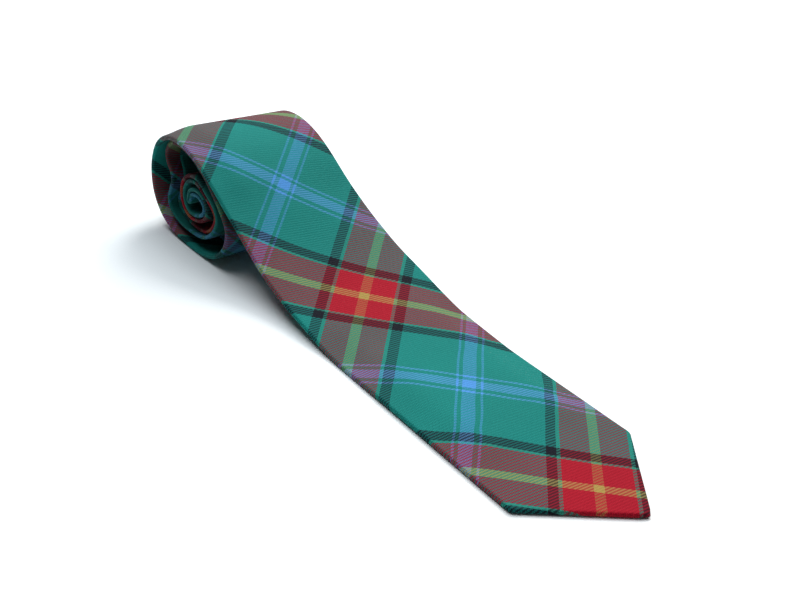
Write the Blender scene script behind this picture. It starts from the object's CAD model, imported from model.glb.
"""Looks of a tartan necktie that is folded in half and rolled up from the fold.

Lengths in the tie's own coordinates are millimetres: s runs along the cloth from the blade's apex,
w across it towards the far side, and n towards the front face. Blender's points are metres.
"""

import math

import bpy
import numpy as np
from mathutils import Matrix, Vector


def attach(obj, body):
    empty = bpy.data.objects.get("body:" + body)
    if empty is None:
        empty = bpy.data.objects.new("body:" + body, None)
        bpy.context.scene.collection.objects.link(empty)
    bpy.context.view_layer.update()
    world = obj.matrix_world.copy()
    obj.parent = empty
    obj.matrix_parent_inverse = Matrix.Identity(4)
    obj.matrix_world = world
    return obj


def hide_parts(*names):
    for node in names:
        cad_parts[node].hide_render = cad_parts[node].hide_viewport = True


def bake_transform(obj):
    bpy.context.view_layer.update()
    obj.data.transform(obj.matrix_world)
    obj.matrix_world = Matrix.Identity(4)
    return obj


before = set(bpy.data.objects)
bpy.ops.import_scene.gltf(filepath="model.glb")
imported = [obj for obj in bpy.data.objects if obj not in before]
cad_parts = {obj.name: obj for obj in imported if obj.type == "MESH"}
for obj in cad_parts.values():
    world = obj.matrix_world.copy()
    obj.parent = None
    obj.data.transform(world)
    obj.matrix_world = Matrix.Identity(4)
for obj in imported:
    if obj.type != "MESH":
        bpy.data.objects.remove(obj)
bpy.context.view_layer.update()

MM = 0.001

# ---------------------------------------------------------------- sizes, as in the part's source
BLADE_W, BLADE_TAPER, NECK_W, TAIL_W = 85.0, 8.0, 38.0, 46.0
POINT_NEAR, POINT_FAR, APEX_SHIFT, TAIL_POINT = 35.0, 39.0, 6.0, 24.0
TIE_LENGTH = 1339.0
CLOTH_T, LAYER_GAP, TIPPING_T = 0.6, 0.05, 0.25
BLADE_H, NECK_H = 1.35, 1.1
PAIR_PITCH, TURN_PITCH = 2.75, 5.8
HEM_W, TACK_AT, TAIL_TACK_AT, SLIT = 12.0, 112.0, 60.0, 0.4
KEEPER_AT, KEEPER_LEN, KEEPER_T, KEEPER_PLAY = 200.0, 14.0, 0.8, 2.5
POINT_CREASE, BLADE_CREASE = 56.0, 144.0
FRONT_SEAM_S, TAIL_SEAM_S = 600.0, 880.0
TIPPING_TO, TAIL_TIPPING_TO = 128.0, 75.0
ORIGIN_X, ORIGIN_Y = 1.0, -161.325

OUTER_TURN = np.array([
    [0, 1.35], [12, 1.35], [24, 1.35], [36, 1.45], [54, 2.3], [76, 4.1], [124, 4.6],
    [159, 6.4], [190, 11.2], [217, 20.6], [242, 35], [261, 48], [276, 56], [291, 59.4],
    [305, 57], [315.5, 48], [319.3, 34], [316, 19.5], [307, 8.5], [294, 2.8], [280, 1.35],
    [266, 2], [254, 6.5], [247, 14],
])
UNDER_THE_RAMP = np.array([[245, 22.5], [248.5, 30]])
INNER_COIL = np.array([
    [307.5, 45], [306.5, 39.5], [302.5, 35], [301, 29.5], [303, 24], [304.5, 17.5],
    [300.5, 11.8], [291, 8.6], [279, 8.4], [268, 10.7], [260, 17], [256, 26], [259, 32.3],
    [266.5, 37.2], [276, 41.5], [285.5, 39.5], [291, 32], [290, 22.5], [283, 17],
    [272.8, 18.3], [266.5, 23.5], [266, 29.5], [271, 33.8], [277.5, 34.6], [283.3, 32],
    [285, 26.5],
])
LEAN_Y = [0, 114, 159, 190, 217, 240, 256]
LEAN_DEGREES = [0, 0, 3, 4.5, 3.5, 1, 0]
STEPS = 3


# ---------------------------------------------------------------- the rolled route
def inward(direction):
    return np.stack([direction[..., 1], -direction[..., 0]], -1)


def chord_directions(points):
    """Direction of travel at each point, from its two neighbours."""
    ahead = np.concatenate([points[1:], points[-1:]])
    behind = np.concatenate([points[:1], points[:-1]])
    d = ahead - behind
    return d / np.linalg.norm(d, axis=1)[:, None]


def curve_at(points, u):
    """Place and direction on the smooth curve through points, at the fractional index u."""
    padded = np.concatenate([[2 * points[0] - points[1]], points, [2 * points[-1] - points[-2]]])
    i = np.clip(np.floor(u).astype(int), 0, len(points) - 2)
    t = (u - i)[..., None]
    p0, p1, p2, p3 = padded[i], padded[i + 1], padded[i + 2], padded[i + 3]
    bend = 2 * p0 - 5 * p1 + 4 * p2 - p3
    twist = 3 * p1 - 3 * p2 + p3 - p0
    place = (2 * p1 + (p2 - p0) * t + bend * t**2 + twist * t**3) / 2
    slope = ((p2 - p0) + 2 * bend * t + 3 * twist * t**2) / 2
    return place, slope / np.linalg.norm(slope, axis=-1)[..., None]


outer_directions = chord_directions(OUTER_TURN)
under_crest = OUTER_TURN[11:15] + TURN_PITCH * inward(outer_directions[11:15])
ROUTE = np.concatenate([OUTER_TURN, UNDER_THE_RAMP, under_crest, INNER_COIL])

front_line = curve_at(ROUTE, np.arange((len(ROUTE) - 1) * STEPS + 1) / STEPS)[0]
FOLD_I = len(front_line) - 1
front_directions = chord_directions(front_line)
fold_direction = front_directions[-1]
fold_mid = front_line[-1] + PAIR_PITCH / 2 * inward(fold_direction)
FOLD_STEPS = 5


def on_fold(turn):
    """Place and direction on the half circle of the fold, at an angle in radians."""
    c, s = np.cos(turn)[..., None], np.sin(turn)[..., None]
    out = -inward(fold_direction)
    return fold_mid + PAIR_PITCH / 2 * (c * out + s * fold_direction), c * fold_direction - s * out


fold_line = on_fold(np.radians(np.arange(36, 180, 36)))[0]
return_line = (front_line + PAIR_PITCH * inward(front_directions))[::-1]
tie_line = np.concatenate([front_line, fold_line, return_line])
LINE_S = np.concatenate([[0], np.cumsum(np.linalg.norm(np.diff(tie_line, axis=0), axis=1))])
FOLD_S = LINE_S[FOLD_I]
CREST_S = LINE_S[13 * STEPS]
TAIL_CREST_S = LINE_S[len(LINE_S) - 1 - 13 * STEPS]


def middle_line(s):
    """(y, z) of the tie's middle surface and its direction of travel, at distances s."""
    q = np.interp(s, LINE_S, np.arange(len(LINE_S)))
    front, front_d = curve_at(ROUTE, np.clip(q, 0, FOLD_I) / STEPS)
    back_u = np.clip(len(LINE_S) - 1 - q, 0, FOLD_I) / STEPS
    back, back_d = curve_at(ROUTE, back_u)
    back = back + PAIR_PITCH * inward(back_d)
    fold, fold_d = on_fold(np.clip(q - FOLD_I, 0, FOLD_STEPS) / FOLD_STEPS * math.pi)
    first, last = (q <= FOLD_I)[..., None], (q >= FOLD_I + FOLD_STEPS)[..., None]
    place = np.where(first, front, np.where(last, back, fold))
    return place, np.where(first, front_d, np.where(last, -back_d, fold_d))


# ---------------------------------------------------------------- widths along the tie
def ease(t):
    u = np.clip(t, 0, 1)
    return u * u * (3 - 2 * u)


def full_w(s):
    narrow = BLADE_W - BLADE_TAPER
    blade = BLADE_W - BLADE_TAPER * s / 350
    neck = narrow - (narrow - NECK_W) * ease((s - 350) / 310)
    tail = NECK_W + (TAIL_W - NECK_W) * ease((s - 1000) / (TIE_LENGTH - 1060))
    return np.where(s < 350, blade, np.where(s < 1000, neck, tail))


def front_middle(s):
    drift = -6 * ease((s - 184) / 166)
    return np.where(s < 350, drift, -6 - (full_w(350.0) - full_w(s)) / 2 + 3 * ease((s - 350) / 150))


def middle(s):
    returned = np.interp(s, LINE_S[::-1][: FOLD_I + 1][::-1], LINE_S[: FOLD_I + 1][::-1])
    return front_middle(np.where(s < FOLD_S, s, returned))


def straight_edges(s):
    half = full_w(s) / 2
    near = np.where(s < POINT_NEAR, APEX_SHIFT - (APEX_SHIFT + half) * s / POINT_NEAR, -half)
    far = np.where(s < POINT_FAR, APEX_SHIFT + (half - APEX_SHIFT) * s / POINT_FAR, half)
    end = np.clip((TIE_LENGTH - s) / TAIL_POINT, 0, 1)
    return near * end, far * end


NOSE = 2.6  # length over which each tip is rounded off
NOSE_FROM = 0.7
CORNER = 1.2  # how far a shoulder's corner is rounded, each way


def edges(s):
    """The near and far edge, with soft shoulders and rounded tips."""
    steps = np.linspace(-1, 1, 9) * CORNER
    both = [straight_edges(np.maximum(s + d, 0)) for d in steps]
    near, far = (np.mean([b[k] for b in both], axis=0) for k in (0, 1))
    for left in (s - NOSE_FROM, TIE_LENGTH - NOSE_FROM - s):
        share = np.sqrt(1 - (1 - np.clip(left / NOSE, 0, 1)) ** 2)
        mid = (near + far) / 2
        near, far = mid + (near - mid) * share, mid + (far - mid) * share
    return near, far


def flare(s):
    blade = (BLADE_W / 2 - HEM_W) * (TACK_AT - s) / (TACK_AT - POINT_NEAR)
    tail = (TAIL_W - HEM_W) / 2 * (s - TIE_LENGTH + TAIL_TACK_AT) / (TAIL_TACK_AT - TAIL_POINT)
    return np.maximum(np.where(s < 700, blade, tail), 0)


def half_t(s):
    return BLADE_H + (NECK_H - BLADE_H) * ease((s - 540) / 50)


def flap_ends(s, near, far):
    """Where the two turned-back flaps end, at the back of the tie."""
    mid, hem = (near + far) / 2, np.where(s < 700, HEM_W, 0.6 * HEM_W)
    first = np.minimum(mid - SLIT, np.maximum(near + hem, -flare(s)))
    second = np.maximum(mid + SLIT, np.minimum(far - hem, flare(s)))
    return first, second


def lean(s, y):
    degrees = np.interp(y, LEAN_Y, LEAN_DEGREES)
    return np.radians(np.where((s < CREST_S) | (s > TAIL_CREST_S), degrees, 0))


SAG = 2.8  # how far the unsupported edge of the roll droops


def softness(s, w, height):
    """How far soft cloth lies off the plain route: edges that hang down past the tail under
    the blade, and slow waves."""
    under = np.clip(height - BLADE_H - 0.15, 0, 2.7) * (s < 400)
    past_tail = ease((np.abs(w) - 22) / 20)
    hang = under * past_tail * (1 - ease((s - 146) / 40))
    # the edge of the roll that nothing carries sags inwards
    past_inner = ease((-w - 21) / 19) * ease((s - 225) / 60) * ease((372 - s) / 40)
    wave = 0.09 * np.sin(s / 13.7 + 0.6 * np.sin(w / 17)) * np.sin(w / 21 + s / 61)
    wave += 0.05 * np.sin(s / 7.9 + w / 11 + 1.3)
    return wave * ease(s / 60) - hang - SAG * past_inner


def place(s, w, n, soft=True):
    """Points of the tie in metres, for arrays of s, w and n of one shape."""
    s, w, n = np.broadcast_arrays(*(np.asarray(v, float) for v in (s, w, n)))
    line, d = middle_line(s)
    side = np.where(s < FOLD_S, 1, -1)
    rise = n + side * w * np.tan(lean(s, line[..., 0]))
    if soft:
        rise = rise + softness(s, w, line[..., 1])
    x = middle(s) + w + ORIGIN_X
    y = line[..., 0] - d[..., 1] * rise + ORIGIN_Y
    z = np.maximum(line[..., 1] + d[..., 0] * rise, 0.02)  # the table carries the cloth
    return np.stack([x, y, z], -1) * MM


# ---------------------------------------------------------------- materials
class Signal:
    """A number or a colour on a surface. Sums and products of numbers add Math nodes."""

    def __init__(self, finish, socket):
        self.finish, self.socket = finish, socket

    def math(self, operation, *others, first=None, clamp=False):
        values = [self if first is None else first, *others]
        if first is not None:
            values.append(self)
        inputs = dict(enumerate(values))
        return self.finish.node("ShaderNodeMath", inputs, operation=operation, use_clamp=clamp)

    def __add__(self, other):
        return self.math("ADD", other)

    __radd__ = __add__

    def __sub__(self, other):
        return self.math("SUBTRACT", other)

    def __rsub__(self, other):
        return self.math("SUBTRACT", first=other)

    def __mul__(self, other):
        return self.math("MULTIPLY", other)

    __rmul__ = __mul__

    def __truediv__(self, other):
        return self.math("DIVIDE", other)

    def __lt__(self, other):
        return self.math("LESS_THAN", other)

    def __mod__(self, other):
        return self.math("FLOORED_MODULO", other)

    def floor(self):
        return self.math("FLOOR")

    def sine(self):
        return self.math("SINE")

    def between(self, low, high):
        """0 below low, 1 above high, and straight in between."""
        inputs = {"Value": self, "From Min": low, "From Max": high}
        return self.finish.node("ShaderNodeMapRange", inputs, clamp=True)


class Finish:
    """A material built from nodes around one Principled shader."""

    def __init__(self, name, roughness=0.8, sheen=0.0, sheen_roughness=0.5, specular=0.3):
        self.material = bpy.data.materials.new(name)
        self.material.use_nodes = True
        self.tree = self.material.node_tree
        self.shader = self.tree.nodes["Principled BSDF"]
        self.shader.inputs["Roughness"].default_value = roughness
        self.shader.inputs["Sheen Weight"].default_value = sheen
        self.shader.inputs["Sheen Roughness"].default_value = sheen_roughness
        self.shader.inputs["Specular IOR Level"].default_value = specular

    def node(self, kind, inputs=(), output=0, stops=None, **settings):
        made = self.tree.nodes.new(kind)
        for name, value in settings.items():
            setattr(made, name, value)
        if stops:
            ramp = made.color_ramp
            ramp.interpolation = "CONSTANT"
            while len(ramp.elements) < len(stops):
                ramp.elements.new(1.0)
            for element, (position, colour) in zip(ramp.elements, stops):
                element.position, element.color = position, colour
        for key, value in dict(inputs).items():
            if isinstance(value, Signal):
                self.tree.links.new(value.socket, made.inputs[key])
            else:
                made.inputs[key].default_value = value
        return Signal(self, made.outputs[output])

    def cloth_place(self):
        """Distance along and across the cloth, in millimetres."""
        vector = self.node("ShaderNodeAttribute", attribute_name="cloth", output="Vector")
        parts = self.node("ShaderNodeSeparateXYZ", {0: vector})
        return Signal(self, parts.socket.node.outputs[0]), Signal(self, parts.socket.node.outputs[1])

    def at(self, x, y, z=0.0):
        return self.node("ShaderNodeCombineXYZ", {0: x, 1: y, 2: z})

    def mix(self, share, one, other, how="MIX"):
        inputs = {0: share, 6: one, 7: other}
        return self.node("ShaderNodeMix", inputs, 2, data_type="RGBA", blend_type=how)

    def shade(self, colour, amount):
        """The colour made lighter or darker by a factor."""
        inputs = {0: colour, 3: amount}
        return self.node("ShaderNodeVectorMath", inputs, operation="SCALE")

    def noise(self, where, scale, detail=2.0):
        inputs = {"Vector": where, "Scale": scale, "Detail": detail}
        return self.node("ShaderNodeTexNoise", inputs)

    def wear(self, colour=None, roughness=None, height=None, bump=0.3, depth=0.0002):
        if colour is not None:
            self.tree.links.new(colour.socket, self.shader.inputs["Base Color"])
        if roughness is not None:
            self.tree.links.new(roughness.socket, self.shader.inputs["Roughness"])
        if height is not None:
            relief = self.node("ShaderNodeBump", {"Strength": bump, "Distance": depth, "Height": height})
            self.tree.links.new(relief.socket, self.shader.inputs["Normal"])
        return self.material


def linear(red, green, blue):
    """An eight-bit display colour as a linear one."""
    channels = (c / 255 for c in (red, green, blue))
    return tuple(c / 12.92 if c <= 0.04045 else ((c + 0.055) / 1.055) ** 2.4 for c in channels) + (1.0,)


GREEN, RED = linear(24, 162, 154), linear(200, 12, 54)
GOLD, DARK = linear(202, 176, 104), linear(8, 20, 40)
BLUE, PALE_GREEN = linear(110, 182, 240), linear(64, 170, 150)
CHECK = 57.0  # from a gold line to the middle of a blue band
GOLD_AT = 22.5  # where the first gold lines cross, from the blade's apex
GOLD_SHARE = 0.042  # half the gold stripe's width, as a share of the check
THREAD_STOPS = [
    (0.0, GOLD), (GOLD_SHARE, RED), (0.272, PALE_GREEN), (0.298, DARK), (0.39, GREEN),
    (0.885, BLUE), (0.91, GREEN), (0.945, BLUE),
]
WARP_PITCH, WEFT_PITCH = 0.447, 0.58


BIAS_STRETCH = 0.978  # the bias-cut cloth is a little longer than wide
WEFT_MIX = 0.08  # how much of the weft shows beside a warp thread on top
WARP_MIX = 0.27  # how much of the thicker warp shows beside a weft thread on top
GOLD_MIX = 0.2  # how much more of the warp shows beside the thin gold weft
DEEPEN = 0.5  # how far crossing colours darken one another
COIL_SHADE = 0.5  # how much darker the cloth is inside the coil
COIL_FROM, COIL_FULL = 385, 450  # where that begins and is complete, from the blade's apex
COIL_TO_TAIL, COIL_FULL_TAIL = 150, 190  # the same, from the tail's tip


def tartan(name, shift_along=0.0, shift_across=0.0):
    """Two-up two-down twill on the bias: each thread keeps one colour, and the two sets of
    threads come to the top in turn along slanting ribs."""
    f = Finish(name, sheen=0.03, sheen_roughness=0.4, specular=0.12)
    s, w = f.cloth_place()
    along = (s - (GOLD_AT + shift_along)) / BIAS_STRETCH
    across = (w + (1.0 + shift_across)) * BIAS_STRETCH
    a = (along + across) * math.sqrt(0.5)
    b = (along - across) * math.sqrt(0.5)
    i, j = (a / WARP_PITCH).floor(), (b / WEFT_PITCH).floor()
    in_warp, in_weft = a / WARP_PITCH - i, b / WEFT_PITCH - j
    warp_at = ((i + 0.5) * (WARP_PITCH / CHECK)).math("PINGPONG", 1.0)
    weft_at = ((j + 0.5) * (WEFT_PITCH / CHECK)).math("PINGPONG", 1.0)
    warp_colour = f.node("ShaderNodeValToRGB", {0: warp_at}, stops=THREAD_STOPS)
    weft_colour = f.node("ShaderNodeValToRGB", {0: weft_at}, stops=THREAD_STOPS)
    step = (i + j) % 4.0
    warp_up = step < 1.5
    # each float is round across its thread and dips at both ends
    warp_round = (in_warp * math.pi).sine() * ((step + in_weft) * (math.pi / 2)).sine().math("ABSOLUTE")
    weft_dip = ((step - 1.0 - in_warp) * (math.pi / 2)).sine().math("ABSOLUTE")
    weft_round = (in_weft * math.pi).sine() * weft_dip
    height = warp_round * warp_up + weft_round * (1.0 - warp_up)
    # each thread shows a little of the one beneath it
    beside_weft = WARP_MIX + GOLD_MIX * (weft_at < GOLD_SHARE)
    share = warp_up * (1.0 - WEFT_MIX) + (1.0 - warp_up) * beside_weft
    colour = f.mix(share, weft_colour, warp_colour)
    colour = f.mix(DEEPEN, colour, f.mix(1.0, warp_colour, weft_colour, "MULTIPLY"))
    fibre = f.noise(f.at(a * 1.7, b * 1.7), 1.0, 3.0)
    slow = f.noise(f.at(s * 0.03, w * 0.03), 1.0, 1.0)
    in_coil = s.between(COIL_FROM, COIL_FULL)
    in_coil = in_coil * (TIE_LENGTH - s).between(COIL_TO_TAIL, COIL_FULL_TAIL)
    level = (0.36 + 0.46 * height + 0.2 * fibre + 0.14 * slow) * (1.0 - COIL_SHADE * in_coil)
    colour = f.shade(colour, level)
    roughness = 0.82 - 0.16 * height
    return f.wear(colour, roughness, height + 0.3 * fibre, bump=0.45, depth=0.00022)


def felt(name, colour):
    f = Finish(name, sheen=0.3, specular=0.2)
    s, w = f.cloth_place()
    fibre = f.noise(f.at(s * 1.3, w * 3.1), 1.0, 4.0)
    lumps = f.noise(f.at(s * 0.25, w * 0.25), 1.0, 2.0)
    level = 0.72 + 0.3 * fibre + 0.16 * lumps
    tone = f.mix(fibre, colour, tuple(0.8 * c for c in colour[:3]) + (1.0,))
    return f.wear(f.shade(tone, level), 0.85 + 0.1 * fibre, fibre + lumps, 0.5, 0.0003)


def satin(name, colour, rib=0.5, gloss=0.35):
    """Smooth lining or ribbon with fine ribs."""
    f = Finish(name, sheen=0.15, specular=0.5)
    s, w = f.cloth_place()
    ribs = ((s + w * 0.35) * (2 * math.pi / rib)).sine() * 0.5 + 0.5
    slubs = f.noise(f.at(s * 0.4, w * 6.0), 1.0, 2.0)
    level = 0.78 + 0.22 * ribs + 0.22 * slubs
    tone = f.mix(slubs, colour, tuple(1.25 * c for c in colour[:3]) + (1.0,))
    return f.wear(f.shade(tone, level), gloss + 0.2 * slubs, ribs, 0.25, 0.0001)


def twisted_thread(name, colour):
    f = Finish(name, sheen=0.2, specular=0.4)
    s, turn = f.cloth_place()
    ply = (s * 9.0 + turn).sine() * 0.5 + 0.5
    fuzz = f.noise(f.at(s * 8.0, turn * 2.0), 1.0, 2.0)
    tone = f.mix(ply, tuple(0.5 * c for c in colour[:3]) + (1.0,), colour)
    return f.wear(f.shade(tone, 0.8 + 0.4 * fuzz), 0.55 + 0.2 * fuzz, ply, 0.6, 0.0001)


def paper(name):
    f = Finish(name, specular=0.2)
    where = f.node("ShaderNodeTexCoord", output="Object")
    grain = f.noise(where, 900.0, 3.0)
    broad = f.noise(where, 1.3, 1.0)
    tone = f.mix(broad.between(0.35, 0.65), (0.8, 0.84, 0.865, 1.0), (0.87, 0.87, 0.87, 1.0))
    return f.wear(f.shade(tone, 0.97 + 0.05 * grain), 0.75 + 0.15 * grain, grain, 0.08, 0.0002)


FRONT_TARTAN = tartan("bias-cut tartan twill, front")
NECK_TARTAN = tartan("bias-cut tartan twill, neck", 23.0, 11.0)
TAIL_TARTAN = tartan("bias-cut tartan twill, tail", -17.0, 5.0)
KEEPER_TARTAN = tartan("bias-cut tartan twill, keeper", 31.0, 2.0)
WOOL = felt("brushed wool interlining", linear(232, 226, 208))
TIPPING = satin("dark satin tipping", linear(30, 36, 42))
THREAD = twisted_thread("dark green sewing thread", linear(22, 78, 70))
MAKER_RIBBON = satin("dark woven ribbon", linear(28, 34, 54), 0.7, 0.4)
CARE_RIBBON = satin("white woven ribbon", linear(226, 226, 222), 0.6, 0.4)


# ---------------------------------------------------------------- building meshes
def add_piece(name, points, faces, cloth, finish, at_corners=False):
    """A mesh whose "cloth" attribute holds s and w in millimetres."""
    mesh = bpy.data.meshes.new(name)
    mesh.from_pydata(points.reshape(-1, 3).tolist(), [], faces)
    attribute = mesh.attributes.new("cloth", "FLOAT_VECTOR", "CORNER" if at_corners else "POINT")
    flat = np.zeros((len(attribute.data), 3), np.float32)
    flat[:, :2] = cloth.reshape(-1, 2)
    attribute.data.foreach_set("vector", flat.ravel())
    mesh.polygons.foreach_set("use_smooth", [True] * len(mesh.polygons))
    mesh.set_sharp_from_angle(angle=math.radians(55))
    mesh.materials.append(finish)
    made = bpy.data.objects.new(name, mesh)
    bpy.context.scene.collection.objects.link(made)
    return made


def facing_out(points, faces):
    """The faces, turned round if they face into the solid."""
    p = points.reshape(-1, 3)
    volume = sum(
        np.einsum("ij,ij->i", p[q[:, 0]], np.cross(p[q[:, k]], p[q[:, k + 1]])).sum()
        for q in (np.array([f for f in faces if len(f) == n]) for n in {len(f) for f in faces})
        for k in range(1, q.shape[1] - 1)
    )
    return [f[::-1] for f in faces] if volume < 0 else faces


def loop_faces(rows, around, start=0):
    """Quads between neighbouring closed rings of the same number of points."""
    i, k = np.meshgrid(np.arange(rows - 1), np.arange(around), indexing="ij")
    j = (k + 1) % around
    quads = np.stack([i * around + k, i * around + j, (i + 1) * around + j, (i + 1) * around + k], -1)
    return (quads.reshape(-1, 4) + start).tolist()


def tube(name, rings, cloth, finish):
    """A closed solid through rings of points, capped at both ends."""
    rows, around = rings.shape[:2]
    faces = loop_faces(rows, around)
    faces += [list(range(around))[::-1], [(rows - 1) * around + k for k in range(around)]]
    return add_piece(name, rings, facing_out(rings, faces), cloth, finish)


def skeleton(s, h):
    """The flat part between the two rounded edges, and how much a slanting edge stretches
    its rounding across the tie."""
    near, far = edges(s)
    d = 0.5
    near_1, far_1 = edges(s + d)
    near_0, far_0 = edges(s - d)
    near_k = np.minimum(np.hypot(1, (near_1 - near_0) / (2 * d)), 1.8)
    far_k = np.minimum(np.hypot(1, (far_1 - far_0) / (2 * d)), 1.8)
    radius = np.minimum(h, np.maximum(far - near, 0.1) / (near_k + far_k) * 0.98)
    return near, far, near + near_k * radius, far - far_k * radius, near_k, far_k, radius


BACK_STEPS, ARC_STEPS, FRONT_STEPS = 7, 8, 26


def mirrored(s, w, through_s, through_w, slope):
    """The place of turned-back cloth before it was folded over a straight edge."""
    size = math.hypot(1, slope)
    e = np.array([1 / size, slope / size])
    ds, dw = s - through_s, w - through_w
    along = ds * e[0] + dw * e[1]
    return through_s + 2 * along * e[0] - ds, through_w + 2 * along * e[1] - dw


def unfolded(s, w, side, region_s):
    """Cloth coordinates of a point of a back flap: side -1 is the near flap, 1 the far one."""
    reach = POINT_NEAR if side < 0 else POINT_FAR
    half = full_w(s) / 2
    straight_s, straight_w = s, 2 * side * half - w
    tip = side * BLADE_W / 2 - APEX_SHIFT
    blade_s, blade_w = mirrored(s, w, 0.0, APEX_SHIFT, tip / reach)
    tail_s, tail_w = mirrored(s, w, TIE_LENGTH, 0.0, -side * TAIL_W / 2 / TAIL_POINT)
    in_point, in_tail = region_s < reach, region_s > TIE_LENGTH - TAIL_POINT
    return (
        np.where(in_point, blade_s, np.where(in_tail, tail_s, straight_s)),
        np.where(in_point, blade_w, np.where(in_tail, tail_w, straight_w)),
    )


def folded_cloth(name, s0, s1, step, finish, sink=0.0):
    """The outer cloth between s0 and s1: front, rounded folded edges and two back flaps, with
    the cloth's own thickness. Returns the piece, its widest girth and its flat area in mm."""
    s = np.linspace(s0, s1, max(3, math.ceil((s1 - s0) / step) + 1))
    if s0 < NOSE_FROM + 1:
        s = np.concatenate([s0 + np.array([0, 0.15, 0.5, 1.0]), s[s > s0 + 1.3]])
    if s1 > TIE_LENGTH - NOSE_FROM - 1:
        s = np.concatenate([s[s < s1 - 1.3], s1 - np.array([1.0, 0.5, 0.15, 0])])
    h = half_t(s) - sink
    near, far, near_in, far_in, near_k, far_k, radius = skeleton(s, h)
    first, second = flap_ends(s, near, far)
    first = np.clip(first, near_in + 0.02, (near_in + far_in) / 2)
    second = np.clip(second, (near_in + far_in) / 2, far_in - 0.02)
    wall = np.minimum(CLOTH_T - sink, 0.45 * radius)

    def section(r):
        column = lambda v: v[:, None]
        out, back = np.linspace(0, 1, BACK_STEPS)[None, :-1], np.linspace(0, 1, BACK_STEPS)[None, 1:]
        turn = np.linspace(-math.pi / 2, math.pi / 2, 2 * ARC_STEPS + 1)[None]
        across = np.linspace(0, 1, FRONT_STEPS)[None, 1:-1]
        flat = np.ones_like
        w = [
            column(first) + (column(near_in) - column(first)) * out,
            column(near_in) - column(near_k * r) * np.cos(turn),
            column(near_in) + (column(far_in) - column(near_in)) * across,
            column(far_in) + column(far_k * r) * np.cos(turn),
            column(far_in) + (column(second) - column(far_in)) * back,
        ]
        n = [-column(r) * flat(out), column(r) * np.sin(turn), column(r) * flat(across),
             -column(r) * np.sin(turn), -column(r) * flat(back)]
        return np.concatenate(w, 1), np.concatenate(n, 1)

    w_out, n_out = section(radius)
    w_in, n_in = section(radius - wall)
    count = w_out.shape[1]
    w = np.concatenate([w_out, w_in[:, ::-1]], 1)
    n = np.concatenate([n_out, n_in[:, ::-1]], 1)
    s_all = np.broadcast_to(s[:, None], w.shape)
    points = place(s_all, w, n)
    rows, around = w.shape
    faces = loop_faces(rows, around)
    for row in (0, rows - 1):
        base = row * around
        cap = [[base + k, base + k + 1, base + around - 2 - k, base + around - 1 - k]
               for k in range(count - 1)]
        faces += [f[::-1] for f in cap] if row == 0 else cap
    faces = facing_out(points, faces)

    # each face reads its cloth from the front, or from the flap that it belongs to
    corner = np.array(faces)
    ring_s, ring_w = s_all.reshape(-1)[corner], w.reshape(-1)[corner]
    mid_s = ring_s.mean(1)[:, None] * np.ones((1, 4))
    column_of = (corner % around)
    in_section = np.where(column_of < count, column_of, around - 1 - column_of).mean(1)
    lower_near = BACK_STEPS - 1 + ARC_STEPS
    cloth_s, cloth_w = ring_s.copy(), ring_w.copy()
    for side, here in ((-1, in_section < lower_near), (1, in_section > count - 1 - lower_near)):
        got = unfolded(ring_s[here], ring_w[here], side, mid_s[here])
        cloth_s[here], cloth_w[here] = got
    cloth = np.stack([cloth_s, cloth_w], -1)
    made = add_piece(name, points, faces, cloth, finish, at_corners=True)
    girth = (far - near) + (first - near) + (far - second) + (math.pi - 2) * radius
    area = ((girth[1:] + girth[:-1]) / 2 * np.diff(s)).sum()
    return made, float(girth.max()), float(area)


def layer(name, s0, s1, step, low, high, finish, inset=0.35):
    """A flat inner layer with rounded sides. Returns the piece, its widest width and area."""
    s = np.linspace(s0, s1, max(3, math.ceil((s1 - s0) / step) + 1))
    near, far, near_in, far_in, *_ = skeleton(s, half_t(s))
    lo, hi = low(s), high(s)
    r, mid = (hi - lo)[:, None] / 2, (hi + lo)[:, None] / 2
    turn = np.linspace(-math.pi / 2, math.pi / 2, 7)[None]
    across = np.linspace(0, 1, 18)[None, 1:-1]
    left = (near_in + inset * np.minimum(1, (far_in - near_in) / 8))[:, None]
    right = (far_in - inset * np.minimum(1, (far_in - near_in) / 8))[:, None]
    w = np.concatenate([
        left - r * np.cos(turn), left + (right - left) * across,
        right + r * np.cos(turn), right + (left - right) * across], 1)
    n = np.concatenate([
        mid + r * np.sin(turn), mid + r * np.ones_like(across),
        mid - r * np.sin(turn), mid - r * np.ones_like(across)], 1)
    s_all = np.broadcast_to(s[:, None], w.shape)
    made = tube(name, place(s_all, w, n), np.stack([s_all, w], -1), finish)
    width = (right - left)[:, 0] + 2 * r[:, 0]
    area = float(((width[1:] + width[:-1]) / 2 * np.diff(s)).sum())
    return made, float(width.max()), area


LONG_THREAD = 40  # points from which a thread keeps its full width to its ends
THREAD_END = 0.12  # radians left at each end of a short thread's tapering


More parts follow.
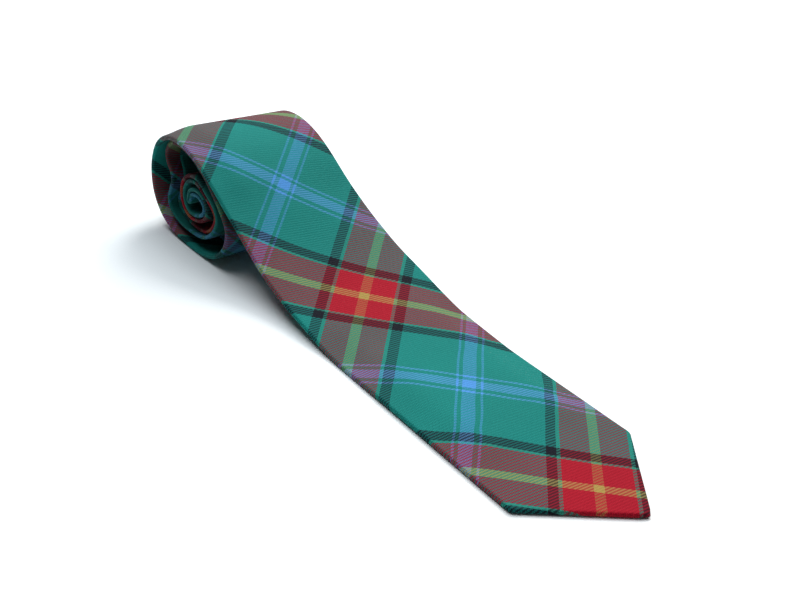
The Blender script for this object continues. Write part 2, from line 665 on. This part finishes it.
def threads(name, paths, radius, finish=THREAD, around=8):
    """Round threads along paths of points in metres, all in one piece."""
    points, faces, cloth = [], [], []
    turn = np.linspace(0, 2 * math.pi, around, endpoint=False)
    for path in paths:
        d = np.gradient(path, axis=0)
        d /= np.linalg.norm(d, axis=1)[:, None]
        side = np.cross(d, [0.31, 0.2, 0.93])
        side /= np.linalg.norm(side, axis=1)[:, None]
        up = np.cross(side, d)
        fine = np.ones(len(path))
        if len(path) < LONG_THREAD:
            bow = np.sin(np.linspace(THREAD_END, math.pi - THREAD_END, len(path)))
            fine = np.sqrt(bow.clip(0, 1))
        ring = path[:, None] + radius * MM * fine[:, None, None] * (
            np.cos(turn)[None, :, None] * side[:, None] + np.sin(turn)[None, :, None] * up[:, None])
        ring[..., 2] = np.maximum(ring[..., 2], 0)
        start = sum(len(p) for p in points)
        new = loop_faces(len(path), around, start)
        last = start + (len(path) - 1) * around
        new += [[start + k for k in range(around)][::-1], [last + k for k in range(around)]]
        flipped = facing_out(ring, [[c - start for c in f] for f in new])
        faces += [[c + start for c in f] for f in flipped]
        points.append(ring.reshape(-1, 3))
        run = np.concatenate([[0], np.cumsum(np.linalg.norm(np.diff(path, axis=0), axis=1))]) / MM
        cloth.append(np.stack(np.broadcast_arrays(run[:, None], turn[None]), -1).reshape(-1, 2))
    return add_piece(name, np.concatenate(points), faces, np.concatenate(cloth), finish)


def cross_blade(piece, crease, half_length=10.0):
    """The piece bends smoothly over a crease between two bodies."""
    start, end = (Vector(place(np.array([crease + k * half_length]), 0, 0)[0]) for k in (-1, 1))
    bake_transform(piece)


# ---------------------------------------------------------------- the outer cloth
SPLIT = 103.0  # a rigid stretch of the blade, between its two creases
SEAM_HALF = 0.4
SEAM_SINK = 0.12

blade_shell, girth, area = folded_cloth("tie_blade_shell", NOSE_FROM, SPLIT, 1.3, FRONT_TARTAN)
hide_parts("blade_point_cloth", "blade_cloth")
cross_blade(blade_shell, POINT_CREASE)

front_shell, girth, area = folded_cloth(
    "tie_front_shell", SPLIT, FRONT_SEAM_S - SEAM_HALF, 1.9, FRONT_TARTAN)
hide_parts("front_panel_cloth")
cross_blade(front_shell, BLADE_CREASE)

neck_shell, girth, area = folded_cloth(
    "tie_neck_shell", FRONT_SEAM_S + SEAM_HALF, TAIL_SEAM_S - SEAM_HALF, 1.2, NECK_TARTAN)
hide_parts("neck_cloth")
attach(neck_shell, "roll")

tail_shell, girth, area = folded_cloth(
    "tie_tail_shell", TAIL_SEAM_S + SEAM_HALF, TIE_LENGTH - NOSE_FROM, 1.8, TAIL_TARTAN)
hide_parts("tail_cloth")
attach(tail_shell, "roll")

for name, at in (("front_piecing_seam", FRONT_SEAM_S), ("tail_piecing_seam", TAIL_SEAM_S)):
    groove = folded_cloth(
        name + "_groove", at - SEAM_HALF, at + SEAM_HALF, 0.3, THREAD,
        sink=SEAM_SINK)[0]
    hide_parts(name)
    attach(groove, "roll")


# ---------------------------------------------------------------- inside: wool and tipping
def under_cloth(s):
    return half_t(s) - CLOTH_T - LAYER_GAP


def over_flaps(s):
    return CLOTH_T + LAYER_GAP - half_t(s)


def wool_floor(s):
    by_blade = ease((TIPPING_TO + 3 - s) / 3)
    by_tail = ease((s - TIE_LENGTH + TAIL_TIPPING_TO + 3) / 3)
    return over_flaps(s) + (TIPPING_T + LAYER_GAP) * np.maximum(by_blade, by_tail)


LINING_BACK = 3.0
LINING_FROM, LINING_TO = NOSE_FROM + LINING_BACK, TIE_LENGTH - NOSE_FROM - LINING_BACK
WOOL_GAP = 0.05  # from each end of the wool to the place where it is split
for name, s0, s1, step, nodes in (
    ("blade_wool", LINING_FROM, SPLIT - WOOL_GAP, 2.0,
     ("blade_point_interlining", "blade_interlining")),
    ("front_wool", SPLIT + WOOL_GAP, FOLD_S - WOOL_GAP, 2.5, ("front_interlining",)),
    ("tail_wool", FOLD_S + WOOL_GAP, LINING_TO, 2.0, ("tail_interlining",)),
):
    wool, width, area = layer(name, s0, s1, step, wool_floor, under_cloth, WOOL)
    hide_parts(*nodes)
    if name == "blade_wool":
        cross_blade(wool, POINT_CREASE)
    elif name == "front_wool":
        cross_blade(wool, BLADE_CREASE)
    else:
        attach(wool, "roll")

for name, s0, s1, nodes in (
    ("blade_satin", LINING_FROM, TIPPING_TO, ("blade_point_tipping", "blade_tipping")),
    ("tail_satin", TIE_LENGTH - TAIL_TIPPING_TO, LINING_TO, ("tail_tipping",)),
):
    lining, width, area = layer(
        name, s0, s1, 2.0, over_flaps, lambda s: over_flaps(s) + TIPPING_T, TIPPING)
    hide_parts(*nodes)
    if name == "blade_satin":
        cross_blade(lining, POINT_CREASE)
    else:
        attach(lining, "roll")


# ---------------------------------------------------------------- hand stitches
def hem_paths(s0, s1, pitch=5.0):
    """Slanting stitches from the edge of each flap over to the tipping."""
    paths = []
    for at in np.arange(s0, s1, pitch):
        near, far = edges(np.array([at]))
        ends = flap_ends(np.array([at]), near, far)
        h = float(half_t(np.array([at]))[0])
        for side, end in zip((-1, 1), ends):
            t = np.linspace(0, 1, 9)
            w = float(end[0]) - side * (-0.9 + 2.3 * t)
            n = -h - 0.12 + (CLOTH_T + 0.12) * ease((t - 0.3) / 0.45)
            paths.append(place(at + 1.1 * t, w, n))
    return paths


blade_hem = threads("blade_hem_thread", hem_paths(22, TACK_AT - 6), 0.16)
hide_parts("point_hem_stitches")
cross_blade(blade_hem, POINT_CREASE)
tail_hem = threads("tail_hem_thread", hem_paths(TIE_LENGTH - TAIL_TACK_AT + 6, TIE_LENGTH - 14), 0.14)
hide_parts("tail_hem_stitches")
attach(tail_hem, "roll")


def slip_path(s0, s1):
    """The long slip stitch, zigzagging in the slit between the two flaps."""
    s = np.arange(s0, s1, 0.9)
    near, far = edges(s)
    w = 0.2 * np.sin(s * 1.1)
    return [place(s, w, 0.28 - half_t(s) + 0.1 * np.cos(s * 2.2))]


front_slip = threads("front_slip_thread", slip_path(TACK_AT + 4, FOLD_S), 0.13, around=6)
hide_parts("blade_slip_stitch", "front_slip_stitch")
cross_blade(front_slip, BLADE_CREASE)
tail_slip = threads("tail_slip_thread", slip_path(FOLD_S, TIE_LENGTH - TAIL_TACK_AT - 4), 0.13, around=6)
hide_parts("tail_slip_stitch")
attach(tail_slip, "roll")


def tack_paths(s0, half_w=4.0, rows=6):
    """A bar tack: close parallel threads across the slit."""
    t = np.linspace(-1, 1, 13)
    h = float(half_t(np.array([s0]))[0])
    arch = -h - 0.06 + 0.25 * ease((np.abs(t) - 0.8) / 0.2)
    return [place(s0 + 0.23 * k + 0.05 * np.sin(5 * t + k), half_w * t, arch) for k in range(rows)]


blade_tack = threads("blade_tack_thread", tack_paths(TACK_AT + 2), 0.12)
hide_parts("blade_bar_tack")
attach(blade_tack, "blade")
tail_tack = threads("tail_tack_thread", tack_paths(TIE_LENGTH - TAIL_TACK_AT - 3.2), 0.12)
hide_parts("tail_bar_tack")
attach(tail_tack, "roll")

# ---------------------------------------------------------------- keeper loop
KEEPER_TO = KEEPER_AT + KEEPER_LEN / 2
KEEPER_MID = TAIL_W / 2 + KEEPER_PLAY + KEEPER_T / 2
KEEPER_TOP = 0.3
KEEPER_FLOOR = 0.3 + 2 * NECK_H + 0.35 + KEEPER_T / 2
KEEPER_BEND = 1.1


def keeper_route():
    """The middle of the loop's cloth, in w and depth below the blade's back."""
    quarter = np.linspace(0, math.pi / 2, 7)
    leg = np.linspace(KEEPER_TOP, KEEPER_FLOOR - KEEPER_BEND, 4)[:-1]
    w = [-KEEPER_MID * np.ones_like(leg), -KEEPER_MID + KEEPER_BEND * (1 - np.cos(quarter))]
    depth = [leg, KEEPER_FLOOR - KEEPER_BEND + KEEPER_BEND * np.sin(quarter)]
    half_floor = np.linspace(-KEEPER_MID + KEEPER_BEND, 0, 12)[1:]
    w.append(half_floor)
    depth.append(np.full_like(half_floor, KEEPER_FLOOR))
    w, depth = np.concatenate(w), np.concatenate(depth)
    return np.concatenate([w, -w[-2::-1]]), np.concatenate([depth, depth[-2::-1]])


def keeper_band():
    w, depth = keeper_route()
    d = np.stack([np.gradient(w), np.gradient(depth)], 1)
    d /= np.linalg.norm(d, axis=1)[:, None]
    out = np.stack([-d[:, 1], d[:, 0]], 1)
    r = KEEPER_T / 2
    turn = np.linspace(-math.pi / 2, math.pi / 2, 6)
    flat = np.linspace(-1, 1, 6)[1:-1]
    half = KEEPER_LEN / 2 - r
    along = np.concatenate([
        half + r * np.cos(turn), half * -flat, -half - r * np.cos(turn), half * flat])
    thick = np.concatenate([r * np.sin(turn), r * np.ones(4), -r * np.sin(turn), -r * np.ones(4)])
    s = KEEPER_AT + along[None] + 0 * w[:, None]
    ring_w = w[:, None] + out[:, :1] * thick[None]
    ring_n = -half_t(s) - depth[:, None] - out[:, 1:] * thick[None]
    run = np.concatenate([[0], np.cumsum(np.hypot(np.diff(w), np.diff(depth)))])
    cloth = np.stack([s, run[:, None] + 0 * s], -1)
    made = tube("keeper_band", place(s, ring_w, ring_n), cloth, KEEPER_TARTAN)
    return made, float(run[-1])


band, band_run = keeper_band()
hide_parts("keeper_loop")
KEEPER_ENDS = [Vector(place(KEEPER_AT, 0, -BLADE_H - depth)) for depth in (0.3, KEEPER_FLOOR - 0.5)]
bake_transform(band)

keeper_stitches = []
for side in (-1, 1):
    for k in range(7):
        t = np.linspace(-1, 1, 15)
        w = side * (KEEPER_MID + 0.4 + 0.35 + 0.2 * k) + 0 * t
        below = -BLADE_H - 0.1 - 0.12 * (1 - t**8)
        keeper_stitches.append(place(KEEPER_AT + KEEPER_LEN / 2 * t, w, below))
keeper_tacks = threads("keeper_tack_threads", keeper_stitches, 0.13)
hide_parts("keeper_bar_tacks")
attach(keeper_tacks, "roll")


# ---------------------------------------------------------------- blank labels
def ribbon(name, s0, length, width, finish):
    """A blank patch of ribbon with rounded edges, sewn flat on the blade's back."""
    s = np.linspace(s0, s0 + length, 15)
    r = 0.07
    turn = np.linspace(-math.pi / 2, math.pi / 2, 5)
    flat = np.linspace(-1, 1, 16)[1:-1] * (width / 2 - r)
    w = np.concatenate([
        -width / 2 + r - r * np.cos(turn), flat, width / 2 - r + r * np.cos(turn), flat[::-1]])
    n = np.concatenate([r * np.sin(turn), r * np.ones(14), -r * np.sin(turn), -r * np.ones(14)])
    s_all = s[:, None] + 0 * w[None]
    points = place(s_all, w[None] + 0 * s_all, n - BLADE_H - 0.15)
    made = tube(name, points, np.stack([s_all, w + 0 * s_all], -1), finish)
    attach(made, "roll")
    return made


MAKER_FROM, MAKER_LEN, MAKER_W = KEEPER_TO + 6, 20.0, 34.0
CARE_FROM, CARE_LEN, CARE_W = MAKER_FROM + MAKER_LEN + 2, 12.0, 14.0
maker = ribbon("maker_ribbon", MAKER_FROM, MAKER_LEN, MAKER_W, MAKER_RIBBON)
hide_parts("maker_label")
care = ribbon("care_ribbon", CARE_FROM, CARE_LEN, CARE_W, CARE_RIBBON)
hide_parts("care_label")

# ---------------------------------------------------------------- table, light and camera
bpy.ops.mesh.primitive_plane_add(size=8.0, location=(0, 0, 0))
table = bpy.context.object
table.name = "pale_table"
table.data.materials.append(paper("pale paper"))


def soft_light(name, where, size, power, colour):
    lamp = bpy.data.lights.new(name, "AREA")
    lamp.shape, lamp.size, lamp.size_y = "RECTANGLE", size, size * 0.8
    lamp.energy, lamp.color = power, colour
    made = bpy.data.objects.new(name, lamp)
    made.location = where
    made.rotation_mode = "QUATERNION"
    made.rotation_quaternion = (-Vector(where)).to_track_quat("-Z", "Y")
    bpy.context.scene.collection.objects.link(made)


soft_light("window", (0.95, 0.5, 1.1), 1.0, 24.0, (1.0, 0.985, 0.96))
soft_light("overhead", (0.05, 0.35, 1.3), 1.3, 19.0, (0.92, 0.97, 1.0))
world = bpy.data.worlds.new("bright room")
world.use_nodes = True
world.node_tree.nodes["Background"].inputs[0].default_value = (0.9, 0.96, 1.0, 1.0)
world.node_tree.nodes["Background"].inputs[1].default_value = 0.08
bpy.context.scene.world = world
bpy.context.scene.view_settings.view_transform = "Standard"

CAMERA_AT = Vector((-0.28772, -0.28989, 0.26747))
CAMERA_LOOK = Vector((0.60974, 0.5987, -0.5194))
CAMERA_UP = Vector((0.25795, 0.46973, 0.84428))
camera = bpy.data.cameras.new("camera")
camera.sensor_width, camera.lens = 36.0, 43.77
camera.clip_start = 0.01
eye = bpy.data.objects.new("camera", camera)
right = CAMERA_LOOK.cross(CAMERA_UP).normalized()
up = right.cross(CAMERA_LOOK).normalized()
turned = Matrix((right, up, -CAMERA_LOOK.normalized())).transposed().to_4x4()
eye.matrix_world = Matrix.Translation(CAMERA_AT) @ turned
bpy.context.scene.collection.objects.link(eye)
bpy.context.scene.camera = eye
